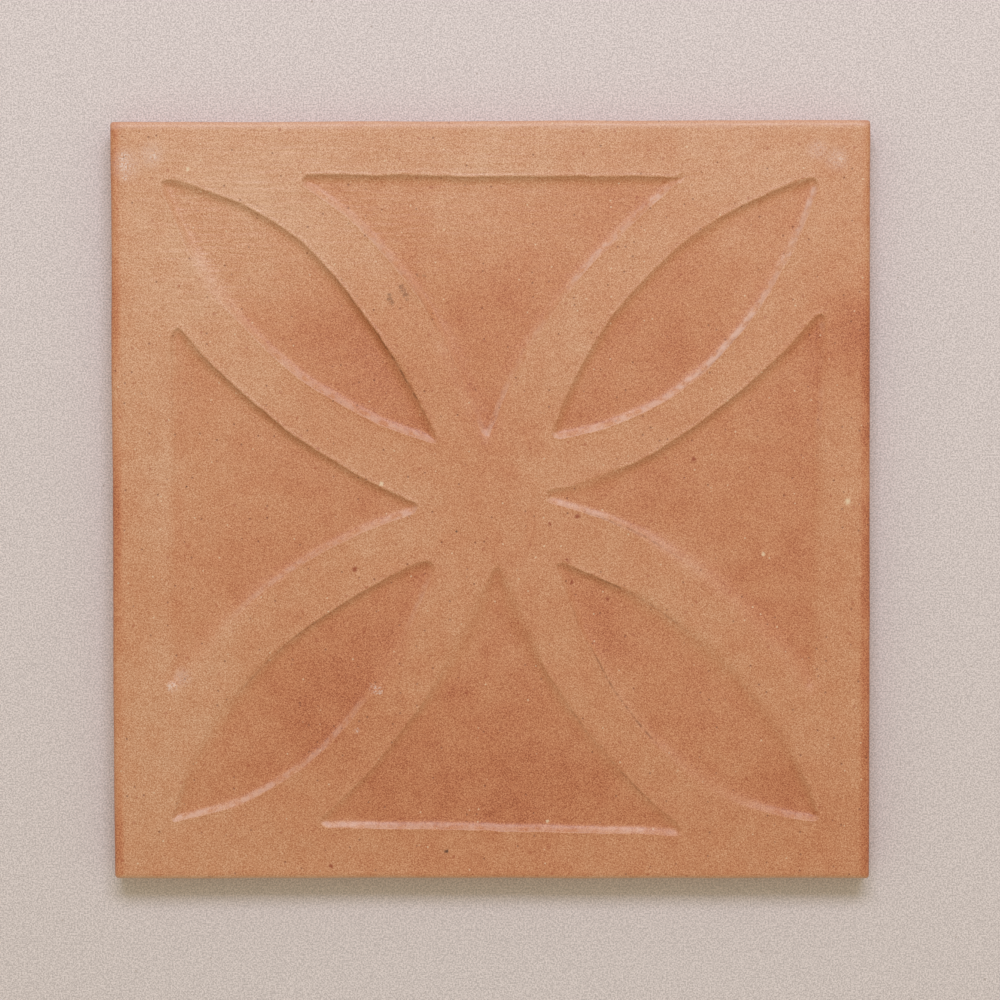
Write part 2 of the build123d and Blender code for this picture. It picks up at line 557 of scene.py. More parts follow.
def without_twins(points):
    """The points, less each one that nearly falls on an earlier one."""
    _, first = np.unique(np.round(points / LEAST_GAP), axis=0, return_index=True)
    return points[np.sort(first)]


def sheet_points(outlines, rows, pitch):
    """The points of one face: rows beside the outlines, a grid, and last the points of its rim."""
    lookup = lookup_of(outlines)
    beside = [
        farther_than(lookup, points + row * inward_normals(points), NEAREST_SHARE * abs(row))
        for points in outlines for row in rows
    ]
    reach = half_side - SHEET_INSET - 0.75 * pitch
    steps = np.linspace(-reach, reach, 2 * int(reach // pitch) + 1)
    grid = np.stack(np.meshgrid(steps, steps), axis=-1).reshape(-1, 2)
    spread = farther_than(lookup, grid, np.abs(rows).max() + 0.45 * pitch)
    return np.vstack([without_twins(np.vstack(beside)), spread, ring_at(SHEET_INSET)])


def triangles_of(points):
    """The Delaunay triangles between flat points, counter-clockwise."""
    found = delaunay_2d_cdt([Vector(point) for point in points], [], [], 0, 0.0001 * MM)
    if len(found[0]) != len(points):
        raise ValueError("two points of a sheet fell together")
    return np.array(found[2])


front_points = sheet_points(field_outlines, FIELD_ROWS, FRONT_PITCH)
back_points = sheet_points(pocket_outlines, POCKET_ROWS, BACK_PITCH)
front_triangles = triangles_of(front_points)
back_triangles = triangles_of(back_points)
print("Front", len(front_triangles), "triangles, back", len(back_triangles))

# %% [markdown]
# The edge of the real tile is a cushion: a quarter round from the face to the side, where the mould
# let go. Below it the side is upright, and a small bevel leads to the back. The radius and the bevel
# are read off the model: the cushion starts where the level land ends, and the bevel where the level
# bed ends.

# %% Measure the edge's profile
def reach_of_level(mesh, height):
    """How far the level surface at this height reaches from the tile's middle."""
    level = [
        face for face in mesh.polygons
        if abs(face.normal.z) > LEVEL_NORMAL and abs(face.center.z - height) < LEVEL_SLACK
    ]
    return max(mesh.vertices[number].co.x for face in level for number in face.vertices)


cushion = half_side - reach_of_level(cad_mesh, land)
bevel = half_side - reach_of_level(cad_mesh, bed)
CUSHION_STEPS = 8
SIDE_STEPS = 5


def edge_profile():
    """The (inset, height) pairs from the face, over the cushion and down the side, to the back."""
    turns = np.linspace(0, np.pi / 2, CUSHION_STEPS + 1)
    profile = [(cushion * (1 - math.sin(turn)), land - cushion * (1 - math.cos(turn))) for turn in turns]
    heights = np.linspace(land - cushion, bed + bevel, SIDE_STEPS + 1)[1:]
    profile += [(0, height) for height in heights]
    profile += [(bevel * 0.15, bed + bevel * 0.55), (bevel * 0.55, bed + bevel * 0.15), (bevel, bed)]
    return profile


print("Cushion", round(cushion / MM, 2), "mm, bevel", round(bevel / MM, 2), "mm")

# %% Join the two sheets and the edge
def at_height(points, height):
    """Flat points, lifted to one height."""
    return np.column_stack((points, np.full(len(points), height)))


def blank_mesh():
    """The unpressed slab as one closed mesh."""
    rings = [at_height(ring_at(inset), height) for inset, height in edge_profile()]
    front = at_height(front_points, land)
    back = at_height(back_points, bed)
    corners = np.vstack([front] + rings + [back])
    around = len(rings[0])
    ring_starts = [len(front) - around] + [len(front) + around * n for n in range(len(rings))]
    ring_starts.append(len(corners) - around)
    here = np.arange(around)
    ahead = (here + 1) % around
    faces = front_triangles.tolist()
    for upper, lower in zip(ring_starts, ring_starts[1:]):
        faces += np.column_stack((upper + here, lower + here, lower + ahead, upper + ahead)).tolist()
    back_start = len(corners) - len(back)
    faces += (back_triangles[:, ::-1] + back_start).tolist()
    mesh = bpy.data.meshes.new("relief_tile")
    mesh.from_pydata(corners.tolist(), [], faces)
    return mesh


tile = new_object("relief_tile", blank_mesh())
print("The blank has", len(tile.data.polygons), "faces")

# %% [markdown]
# The press gives the blank its relief. Its shape follows one rule: how deep a point goes depends on
# how far it lies inside the nearest outline. Geometry Nodes can measure that. Geometry Proximity to
# the edges of a flat outline gives the distance, and proximity to its faces is zero only inside. A
# crisp wall breaks sharply at its rim and eases out into the floor, as half a parabola does, and it
# pushes up a small lip on the land. A worn wall has lost its rim: it is a wide smooth step. The tree
# also stores each point's distance from the line, for the material to use. Where the clay didn't fill
# the mould, the whole relief is shallow.

# %% Write the relief press
INSIDE_SLACK = 0.05 * MM
HALF_DEPTH_SHARE = 1 - math.sqrt(0.5)
MOST_SHALLOW = 0.8
CHANCE_WEAR = 0.35
LIP_START, LIP_TOP, LIP_END = -0.45, -0.12, 0.06
PRESS_INPUTS = {
    "Outlines": "Object", "Face height": "Float", "Depth": "Float", "Crisp wall": "Float",
    "Worn wall": "Float", "Wear patch": "Float", "Lip": "Float", "Material": "Material",
}
press_tree, press, given = new_geometry_tree("relief_press", PRESS_INPUTS)
outline = press.add("GeometryNodeObjectInfo", {"Object": given["Outlines"]}).outputs["Geometry"]
place = press.add("GeometryNodeInputPosition").outputs[0]
flat_place = press.vector("MULTIPLY", place, (1, 1, 0))


def distance_to(part):
    """How far each point lies from the edges or the faces of the outlines, seen from above."""
    inputs = {0: outline, "Sample Position": flat_place}
    return press.add("GeometryNodeProximity", inputs, target_element=part).outputs["Distance"]


def noted_on_points(name):
    """A number that was stored on the points before the press."""
    return press.add("GeometryNodeInputNamedAttribute", {"Name": name}, data_type="FLOAT").outputs[0]


inside = press.math("LESS_THAN", distance_to("FACES"), INSIDE_SLACK)
side_sign = press.minus(press.times(inside, 2.0), 1.0)
inward = press.times(distance_to("EDGES"), side_sign)
filled = press.minus(1.0, press.math("MINIMUM", noted_on_points("shallow"), MOST_SHALLOW))
patchy = press.clouds(press.vector("DIVIDE", place, press.alike(given["Wear patch"])), 1.0, detail=1.0)
chance_wear = press.ramp(patchy, 0.45, 0.75, 0.0, CHANCE_WEAR)
wear = press.clamp(press.plus(noted_on_points("wear"), chance_wear))
wall = press.ramp(wear, 0.0, 1.0, given["Crisp wall"], given["Worn wall"])
across = press.math("DIVIDE", inward, wall)
from_rim = press.plus(across, HALF_DEPTH_SHARE)
to_floor = press.minus(1.0, press.clamp(from_rim))
crisp_share = press.minus(1.0, press.times(to_floor, to_floor))
worn_share = press.ramp(across, -0.5, 0.5)
crispness = press.minus(1.0, wear)
share = press.plus(press.times(crisp_share, crispness), press.times(worn_share, wear))
drop = press.times(share, given["Depth"], -1.0, filled)
lip_shape = (press.ramp(from_rim, LIP_START, LIP_TOP), press.ramp(from_rim, LIP_END, LIP_TOP))
lip = press.times(*lip_shape, given["Lip"], crispness, filled)
height = press.add("ShaderNodeSeparateXYZ", {0: place}).outputs["Z"]
off_face = press.absolute(press.minus(height, given["Face height"]))
on_face = press.math("LESS_THAN", off_face, 0.001 * MM)
noted = press.add("GeometryNodeStoreNamedAttribute", {
    "Geometry": given["Geometry"], "Selection": on_face, "Name": "inward",
    "Value": press.math("DIVIDE", inward, MM),
}, data_type="FLOAT", domain="POINT")
pressed = press.add("GeometryNodeSetPosition", {
    "Geometry": noted.outputs[0], "Selection": on_face,
    "Offset": press.add("ShaderNodeCombineXYZ", {"Z": press.plus(drop, lip)}).outputs[0],
})
end_geometry_tree(press, pressed.outputs[0], given["Material"])
print("The press has", len(press_tree.nodes), "nodes")

# %% [markdown]
# Where is the mould worn? Partly that is chance, and the tree's own noise sees to it. The places
# where it shows most are listed: the straight bases of the left and right wedges, the middle
# of the face, and the lower right. Each place is a middle, a reach and a strength, in millimetres
# from the tile's centre. Strengths below zero keep a wall crisp. A second list has the shallow
# places, and with strengths below zero the deep ones.

# %% Mark the worn and the shallow places
WORN_PLACES = (
    (-85, 26, 14, 1.0), (-85, 0, 20, 1.0), (-85, -32, 16, 1.0),
    (87, 28, 12, 0.9), (87, 0, 20, 1.0), (87, -34, 18, 1.0),
    (70, -34, 24, 1.0), (48, -22, 12, 0.6), (30, -62, 15, 0.6), (62, -72, 14, 0.8), (70, -55, 14, 0.5),
    (-75, -38, 18, 1.0), (-70, -62, 12, 0.6), (-22, -40, 13, 0.9), (-8, -34, 13, 0.8), (6, -30, 11, 0.5),
    (-74, 62, 12, 0.7), (-12, 38, 13, 1.0), (8, 32, 11, 0.6), (5, 24, 8, 0.5),
    (-45, 60, 26, -0.5), (-60, 20, 22, -0.4), (0, 85, 40, -0.15), (0, -85, 40, -0.15),
)
SHALLOW_PLACES = (
    (22, 3, 12, 0.5), (47, 62, 16, 0.25), (-18, -48, 14, 0.3), (-32, -68, 12, 0.4), (-42, -82, 8, 0.45),
    (28, -64, 15, 0.4), (43, -79, 9, 0.45), (67, -58, 16, 0.35), (-58, -38, 18, 0.2), (-78, -70, 13, 0.4),
    (51.5, 85.5, 2.5, 0.5), (34, -48, 15, 0.4),
    (58, -73, 13, 0.5), (52, -22, 15, 0.35), (-28, 44, 16, -0.6), (-58, 18, 16, -0.25),
)


def strength_at(places, points):
    """The strengths of the listed places, added up at each point as soft round spots."""
    total = np.zeros(len(points))
    for x, y, reach, strength in places:
        away = np.hypot(points[:, 0] - x * MM, points[:, 1] - y * MM) / (reach * MM)
        total += strength * np.exp(-(away**2))
    return total


def set_attribute(mesh, name, values):
    """Stores one number for each point of the mesh."""
    attribute = mesh.attributes.new(name, "FLOAT", "POINT")
    attribute.data.foreach_set("value", values.astype(np.float32))


def places_of(mesh):
    """The mesh's points as an array."""
    flat = np.empty(len(mesh.vertices) * 3, np.float32)
    mesh.vertices.foreach_get("co", flat)
    return flat.reshape(-1, 3).astype(float)


FAR_OUTSIDE = -50.0
blank_points = places_of(tile.data)
wear_at_points = strength_at(WORN_PLACES, blank_points)
set_attribute(tile.data, "wear", wear_at_points)
on_front = blank_points[:, 2] > land / 2
set_attribute(tile.data, "shallow", strength_at(SHALLOW_PLACES, blank_points) * on_front)
set_attribute(tile.data, "inward", np.full(len(wear_at_points), FAR_OUTSIDE))
print("Wear runs from", round(wear_at_points.min(), 2), "to", round(wear_at_points.max(), 2))

# %% Press the face and the back
flat_fields = flat_mesh_object("flat_fields", field_outlines)
run_tree(tile, press_tree, {
    "Outlines": flat_fields, "Face height": land, "Depth": relief_depth, "Crisp wall": 2.2 * MM,
    "Worn wall": 6.0 * MM, "Wear patch": 14 * MM, "Lip": 0.10 * MM, "Material": fired_clay,
})
run_tree(tile, press_tree, {
    "Outlines": key_pockets, "Face height": bed, "Depth": -key_depth, "Crisp wall": 0.9 * MM,
    "Worn wall": 1.6 * MM, "Wear patch": 14 * MM, "Lip": 0.0, "Material": fired_clay,
})
for helper in (flat_fields, key_pockets, flat_pocket):
    bpy.data.objects.remove(helper)
pressed_points = places_of(tile.data)
print("Lowest point of the face:", round(pressed_points[:len(front_points), 2].min() / MM, 2), "mm")

# %% [markdown]
# Wet clay never stays flat. It sags and swells by up to a quarter of a millimetre over a hand's
# breadth, and it keeps shallow finger marks. A second tree moves every point by a slow noise and a
# quicker one. The move fades to nothing at the bed, because the tile lies flat on it.

# %% Let the clay move
hand_tree, hand, given = new_geometry_tree("soft_clay", {
    "Slow size": "Float", "Slow move": "Float", "Quick size": "Float", "Quick move": "Float",
    "Thickness": "Float", "Material": "Material",
})
place = hand.add("GeometryNodeInputPosition").outputs[0]
parts = hand.add("ShaderNodeSeparateXYZ", {0: place}).outputs
lift = hand.ramp(hand.math("DIVIDE", parts["Z"], given["Thickness"]), 0.0, 0.5)


def noise_move(size, amount):
    """A wandering offset, up to half the amount each way."""
    scaled_place = hand.vector("DIVIDE", place, hand.alike(size))
    about_zero = hand.vector(
        "SUBTRACT", hand.clouds(scaled_place, 1.0, detail=1.5, output="Color"), (0.5, 0.5, 0.5)
    )
    return hand.vector("MULTIPLY", about_zero, hand.alike(hand.times(amount, lift)))


both_moves = hand.vector(
    "ADD",
    noise_move(given["Slow size"], given["Slow move"]),
    noise_move(given["Quick size"], given["Quick move"]),
)
moved = hand.add("GeometryNodeSetPosition", {"Geometry": given["Geometry"], "Offset": both_moves})
end_geometry_tree(hand, moved.outputs[0], given["Material"])
run_tree(tile, hand_tree, {
    "Slow size": 38 * MM, "Slow move": 0.5 * MM, "Quick size": 9 * MM, "Quick move": 0.14 * MM,
    "Thickness": land, "Material": fired_clay,
})
tile.data.shade_smooth()

# %% [markdown]
# A closed mesh whose faces all point outwards has no edge with only one face, and its volume comes
# out above zero. It costs one short cell to be sure.

# %% Check that the mesh is closed
def check_closed(mesh):
    """Stops if the mesh is open or inside out, and returns its volume in cubic millimetres."""
    looked_at = bmesh.new()
    looked_at.from_mesh(mesh)
    open_edges = sum(1 for edge in looked_at.edges if not edge.is_manifold)
    volume = looked_at.calc_volume(signed=True) / MM**3
    looked_at.free()
    if open_edges or volume <= 0:
        raise ValueError(f"{open_edges} open edges, volume {volume}")
    return volume


print("The pressed tile is closed and holds", round(check_closed(tile.data)), "cubic millimetres")

# %% [markdown]
# In the kiln, the clay takes its colour from the heat and from what touches it. Some places stay a
# pale tan, and others turn a deep orange, with soft edges between them. Where that happens is again
# a short list: below zero is paler, above zero is deeper. Walls that look towards the upper edge,
# where the lamp stands, get a painted highlight: a pale pink that stands for the sheen of the satin
# clay there. The upper left of the face keeps the streaks of the scraper, and the rims of the walls
# that look away from the lamp get painted shade, a thin dark line. All of these are far larger than
# the faces, so they are stored on the points.

# %% Mark the pale, deep and scraped places, and where sheen and rim shade are painted
FLASH_PLACES = (
    (-70, 85, 42, -0.30), (0, 92, 34, -0.15), (66, 90, 30, -0.15), (-62, 66, 18, -0.12),
    (-95, 30, 30, -0.10), (14, 45, 16, -0.12), (0, -85, 60, 0.18), (-40, -55, 26, 0.20),
    (60, -80, 40, 0.08), (90, -94, 18, 0.12), (98, 44, 15, 0.50), (7, 55, 12, 0.20), (-20, 38, 12, 0.10),
    (39, -27, 13, -0.12), (30, -64, 12, -0.04), (-80, -60, 24, -0.14), (-32, 36, 15, 0.12),
    (-42, 48, 15, 0.17), (-33, 64, 9, -0.10), (-82, 2, 12, -0.08), (94, -26, 18, 0.12), (-66, 2, 22, -0.09),
    (0, -68, 22, -0.05), (0, 0, 13, 0.10), (42, 40, 18, 0.10), (0, 44, 12, 0.08), (0, 76, 16, -0.10),
    (0, -42, 10, -0.10), (30, -34, 8, 0.14), (6, -72, 9, 0.10), (0, 16, 16, 0.10), (-18, 20, 12, 0.12),
)
# Painted highlight: places where the walls that face the lamp get a pale pink sheen.
SHEEN_PLACES = (
    (-74, 63, 7, 0.35), (-63, 50, 8, 0.4), (-51, 37, 9, 0.9), (-40, 28, 8, 0.8), (-29, 21, 8, 0.9),
    (-20, 16, 6, 1.0), (-43, 79, 8, 0.7), (-32, 68, 8, 0.8), (-23, 58, 7, 0.5), (43, 79, 7, 1.5),
    (31, 67, 8, 1.1), (25, 59, 6, 1.0), (14, 42, 8, 0.5), (5, 26, 7, 0.6), (0, 17, 4, 0.9),
    (84, 80, 5, 1.5), (79, 66, 9, 1.5), (72, 47, 9, 1.7), (63, 37, 8, 1.8), (52, 28, 8, 1.6),
    (39, 22, 8, 1.3), (26, 18, 8, 1.2), (18, 17, 4, 0.8), (87, 48, 5, 0.6), (87, 26, 14, 0.35),
    (-19, -4, 6, 1.0), (-27, -6, 7, 0.8), (-40, -12, 8, 0.6), (-51, -19, 8, 0.7), (-61, -27, 8, 0.4),
    (16, -1, 5, 0.9), (26, -4, 7, 0.9), (37, -8, 7, 0.45), (47, -13, 7, 0.2), (-82, -84, 7, 1.0),
    (-70, -81, 9, 1.0), (-58, -75, 8, 0.9), (-45, -65, 8, 0.7), (-37, -57, 6, 0.5), (-17, -27, 8, 0.35),
    (-42, -86, 9, 0.8), (-25, -86, 12, 0.8), (-5, -86, 14, 0.7), (17, -86, 14, 0.5), (38, -87, 12, 0.7),
    (82, -84, 6, 0.6), (74, -81, 5, 0.25),
)
SCRAPED_PLACES = (
    (-78, 66, 24, 1.0), (-60, 92, 26, 0.8), (-25, 72, 18, 0.7), (5, 90, 26, 0.6), (60, 90, 20, 0.4),
)
# Painted shade: places where the rims of the walls that face away from the lamp get a thin dark line.
RIM_SHADE_PLACES = (
    (21, -31, 5, 0.2), (28, -43, 6, 0.6), (34, -52, 6, 0.8), (41, -60, 5, 0.7), (30, -7, 8, 0.6),
    (42, -12, 8, 0.6), (-36, 56, 10, 0.6), (-24, 42, 10, 0.9), (-18, 30, 8, 0.9), (-75, 30, 9, 0.6),
    (-60, 16, 10, 0.5), (-45, -28, 10, 0.6), (-62, -44, 8, 0.6), (30, -22, 8, 0.6), (45, -33, 8, 0.6),
    (62, -55, 10, 0.5), (25, -58, 10, 0.5), (38, -76, 8, 0.6), (60, 38, 12, 0.4), (-20, -46, 8, 0.4),
)

# How much painted sheen a point gets: some on level ground, most where it faces the lamp.
LEVEL_SHEEN = 0.4
SLOPE_SHEEN = 6


def turned_up(mesh):
    """From 0 to 1 at each point: how little the surface turns away from the tile's upper edge."""
    normals = np.empty(len(mesh.vertices) * 3, np.float32)
    mesh.vertices.foreach_get("normal", normals)
    return np.clip(LEVEL_SHEEN + SLOPE_SHEEN * normals[1::3], 0, 1)


clay_points = places_of(tile.data)
# The painted sheen is stored on the points, weighted by how far each one faces the lamp.
set_attribute(tile.data, "painted_sheen", strength_at(SHEEN_PLACES, clay_points) * turned_up(tile.data))
for name, places in (("flash", FLASH_PLACES), ("scraped", SCRAPED_PLACES), ("painted_rim_shade", RIM_SHADE_PLACES)):
    set_attribute(tile.data, name, strength_at(places, clay_points))
print(len(FLASH_PLACES), "pale and deep places,", len(SHEEN_PLACES), "rubbed ones")

# %% [markdown]
# The material mixes all of this. One ramp goes from pale tan to dark orange. Its position is the sum
# of the depth, because the sunk floors fired deeper, of the listed spots, of clouds of noise, and
# of the grain, because one grain of sand takes the fire differently from the next. Two more parts
# are painted light and shade: a patchy deeper, darker orange along the left and right edges is
# painted shade, where the cushion turns away from the lamp, and a paler lower edge is painted light
# that lifts the shade of the cushion there. The texture coordinates are the object's own, so that
# the pattern stays on the tile. For the grain they are turned first: noise is weaker on the level
# planes of its own grid, and the face is nearly level.

# %% Measure places on the tile in millimetres
spot = clay.place_in_mm()
spot_parts = clay.add("ShaderNodeSeparateXYZ", {0: spot}).outputs
print("Places in the clay are in millimetres")

# %% Carry heat to colour
CLAY_COLOURS = {
    0.0: "#d0a080", 0.25: "#cb9471", 0.5: "#c68761", 0.75: "#c07a54", 1.0: "#b56844", 1.25: "#9d502e",
}


def linear(code):
    """A colour written as a hexadecimal code, as the linear red, green, blue and alpha of a shader."""
    parts = [int(code[n:n + 2], 16) / 255 for n in (1, 3, 5)]
    return [part / 12.92 if part <= 0.04045 else ((part + 0.055) / 1.055) ** 2.4 for part in parts] + [1]


def colour_ramp(writer, value, colours):
    """A Color Ramp node with these colours, whose positions run from 0 to the largest."""
    longest = max(colours)
    ramp = writer.add("ShaderNodeValToRGB", {0: writer.math("DIVIDE", value, longest)})
    stops = ramp.color_ramp.elements
    while len(stops) < len(colours):
        stops.new(0.5)
    for stop, (position, code) in zip(stops, sorted(colours.items())):
        stop.position = position / longest
        stop.color = linear(code)
    return ramp.outputs[0]


def mix_colour(writer, factor, under, over, way="MIX"):
    """Two colours mixed by a factor."""
    inputs = {0: factor, 6: under, 7: over}
    return writer.add("ShaderNodeMix", inputs, data_type="RGBA", blend_type=way).outputs[2]


def cover(writer, under, factor, code):
    """A colour, covered by the colour with this code as far as the factor says."""
    return mix_colour(writer, factor, under, linear(code))


def stored(name):
    """A number stored on the points of the tile."""
    return clay.add("ShaderNodeAttribute", attribute_name=name).outputs["Fac"]


def swing(value, amount):
    """A noise value, moved to swing about zero by up to half this amount each way."""
    return clay.times(clay.minus(value, 0.5), amount)


print("The clay goes through", len(CLAY_COLOURS), "colours as its heat goes up")

# %% Add up the heat
BASE_HEAT = 0.43
SUNK_HEAT = 0.22
# Painted shade along the left and right edges:
SIDE_SHADE_HEATS = (0.10, 0.45)
SIDE_SHADE_WIDTHS = (3.2, 1.6)
SIDE_SHADE_PATCH = 34.0
# Painted light: the lower edge is made paler, lifting the shade of its cushion.
LOWER_RIM_PAINTED_LIGHT = -0.6
LOWER_RIM_WIDTHS = (1.2, 0.2)
WIDE_CLOUD, WIDE_HEAT = 26.0, 0.30
SMALL_CLOUD, SMALL_HEAT = 6.0, 0.55
GRAIN_SIZE, GRAIN_HEAT = 0.30, -1.6

half_side_mm = half_side / MM
turned_spot = clay.add(
    "ShaderNodeVectorRotate", {"Vector": spot, "Rotation": (0.6, 0.5, 0.3)}, rotation_type="EULER_XYZ"
).outputs[0]
grain = clay.clouds(turned_spot, GRAIN_SIZE)
sunk = clay.ramp(spot_parts["Z"], land / MM, field_floor / MM)
# Painted shade: a patchy deeper, darker orange along the left and right edges, where the cushion turns from
# the lamp.
near_side = clay.ramp(clay.absolute(spot_parts["X"]), *(half_side_mm - width for width in SIDE_SHADE_WIDTHS))
side_shade_patches = clay.ramp(clay.clouds(spot, SIDE_SHADE_PATCH), 0.35, 0.65, *SIDE_SHADE_HEATS)
# Painted light: paler along the lower edge.
lower_rim = clay.ramp(spot_parts["Y"], *(width - half_side_mm for width in LOWER_RIM_WIDTHS))
heat_parts = (
    clay.times(sunk, SUNK_HEAT),
    stored("flash"),
    clay.times(near_side, side_shade_patches),
    clay.times(lower_rim, LOWER_RIM_PAINTED_LIGHT),
    swing(clay.clouds(spot, WIDE_CLOUD), WIDE_HEAT),
    swing(clay.clouds(spot, SMALL_CLOUD, detail=3.0), SMALL_HEAT),
    swing(grain, GRAIN_HEAT),
)
clay_colour = colour_ramp(clay, clay.plus(BASE_HEAT, *heat_parts), CLAY_COLOURS)
print("The heat has", len(heat_parts), "parts, and the grain measures", GRAIN_SIZE, "mm")

# %% [markdown]
# The grain is what makes it clay. Real fired clay is sand in a fine body, so each bit of it is a
# little lighter or darker than the next. A light grain is also less red than a dark one, so the grain
# moves red less than green, and green less than blue. Specks are rarer: grains of iron burn red or
# dark, and bits of lime burn pale. A Voronoi texture gives each cell one speck, and the cell's own
# random colour decides whether it shows. Each kind of speck has its own shift, so that the kinds
# don't fall on one another, a pitch and a radius, a rarity, which is out of how many cells one shows
# its speck, a strength and a colour.

# %% Add the grain and the specks
GRAIN_SWINGS = (0.22, 0.29, 0.36)
SPECKS = (
    ("red", (3.0, 29.0, 11.0), 4.4, 0.42, 2, 0.40, "#9c4426"),
    ("dark", (0.0, 0.0, 0.0), 2.2, 0.22, 4, 0.60, "#6e3320"),
    ("pale", (41.0, 17.0, 5.0), 2.2, 0.20, 7, 0.55, "#ecd2b4"),
)


def specks(writer, place, pitch, radius, rarity):
    """A mask of small round specks, in one cell out of so many."""
    inputs = {"Vector": place, "Scale": 1 / pitch}
    cells = writer.add("ShaderNodeTexVoronoi", inputs)
    wobble = writer.times(writer.clouds(place, 0.5), 0.08)
    wobbly = writer.plus(cells.outputs["Distance"], wobble)
    dot = writer.ramp(wobbly, (radius + 0.12) / pitch + 0.04, radius / pitch + 0.02)
    chance = writer.add("ShaderNodeSeparateColor", {0: cells.outputs["Color"]}).outputs[0]
    return writer.times(dot, writer.math("LESS_THAN", chance, 1 / rarity))


grain_colour = clay.add("ShaderNodeCombineColor", {
    n: clay.ramp(grain, 0.25, 0.75, 1 - amount, 1 + amount) for n, amount in enumerate(GRAIN_SWINGS)
}).outputs[0]
clay_colour = mix_colour(clay, 1.0, clay_colour, grain_colour, "MULTIPLY")
speck_masks = {}
for kind, shift, pitch, radius, rarity, strength, code in SPECKS:
    speck_masks[kind] = specks(clay, clay.vector("ADD", spot, shift), pitch, radius, rarity)
    clay_colour = cover(clay, clay_colour, clay.times(speck_masks[kind], strength), code)
print("The grain moves red, green and blue by up to", GRAIN_SWINGS)

# %% [markdown]
# Two things show pale, and both are painted highlights: the sheen on the walls that face the lamp,
# and the sheen on the top of the cushion along the upper edge, which faces the lamp too. The rims of
# the walls that look away from the lamp get painted shade as thin dark lines. The press stored how far
# each point lies inside its line, so a band of it picks out the wall, and a narrow one just outside it
# the rim.

# %% Paint the sheen on the walls and the upper edge, and the shade on the rims
# Painted highlight: the colour and bands of the sheen on the walls and the upper edge that face the lamp.
SHEEN_COLOUR = "#debaad"
SHEEN_BAND = (-1.0, -0.45, 0.2, 1.2)
MOST_SHEEN = 1.9
UPPER_EDGE_SHEEN = 0.24
UPPER_EDGE_WIDTHS = (2.6, 1.0)
# Painted shade: the colour and band of the dark line on those rims.
RIM_SHADE_COLOUR = "#74401f"
RIM_SHADE_BAND = (-0.95, -0.75, -0.5, -0.15)


def band(value, rise, full, fall, end):
    """One between full and fall, easing to zero at rise and at end."""
    return clay.times(clay.ramp(value, rise, full), clay.ramp(value, end, fall))


# Painted highlight on the walls that face the lamp, in patches.
wall_sheen = clay.times(band(stored("inward"), *SHEEN_BAND), stored("painted_sheen"))
# Painted highlight: a pale band on the cushion along the upper edge, which faces the lamp.
ragged_reach = clay.plus(spot_parts["Y"], swing(clay.clouds(spot, 3.0, detail=3.0), 2.6))
upper_edge_sheen = clay.ramp(ragged_reach, *(half_side_mm - width for width in UPPER_EDGE_WIDTHS))
patchiness = clay.ramp(clay.clouds(spot, 2.2, detail=3.0), 0.32, 0.62, 0.08, 0.46)
painted_sheen = clay.times(clay.math("MINIMUM", wall_sheen, MOST_SHEEN), patchiness)
painted_sheen = clay.plus(painted_sheen, clay.times(upper_edge_sheen, UPPER_EDGE_SHEEN))
clay_colour = cover(clay, clay_colour, painted_sheen, SHEEN_COLOUR)
# Painted shade along the rims of the walls that face away from the lamp.
on_rim = clay.times(band(stored("inward"), *RIM_SHADE_BAND), stored("painted_rim_shade"))
painted_rim_shade = clay.times(on_rim, clay.ramp(clay.clouds(spot, 1.3), 0.4, 0.62, 0.12, 0.70))
clay_colour = cover(clay, clay_colour, painted_rim_shade, RIM_SHADE_COLOUR)
# Prints the colour of the painted sheen.
print("Sheen_painted walls are mixed with", SHEEN_COLOUR)

# %% [markdown]
# A used tile also has marks that belong to it alone: a haze of chalk with a few bright dots in it,
# and single grains of iron and lime that are larger than the rest. One more mark is painted shade: a
# dark smudge that stands for the shade in a small dent, which the mesh doesn't have. Each is a place
# and a radius, in millimetres. A little noise is added to the place before it is measured, so that
# the edge is ragged, and the chalk and its haze, which only catch on the high grains, and the painted
# dent shade are broken up by a finer noise.

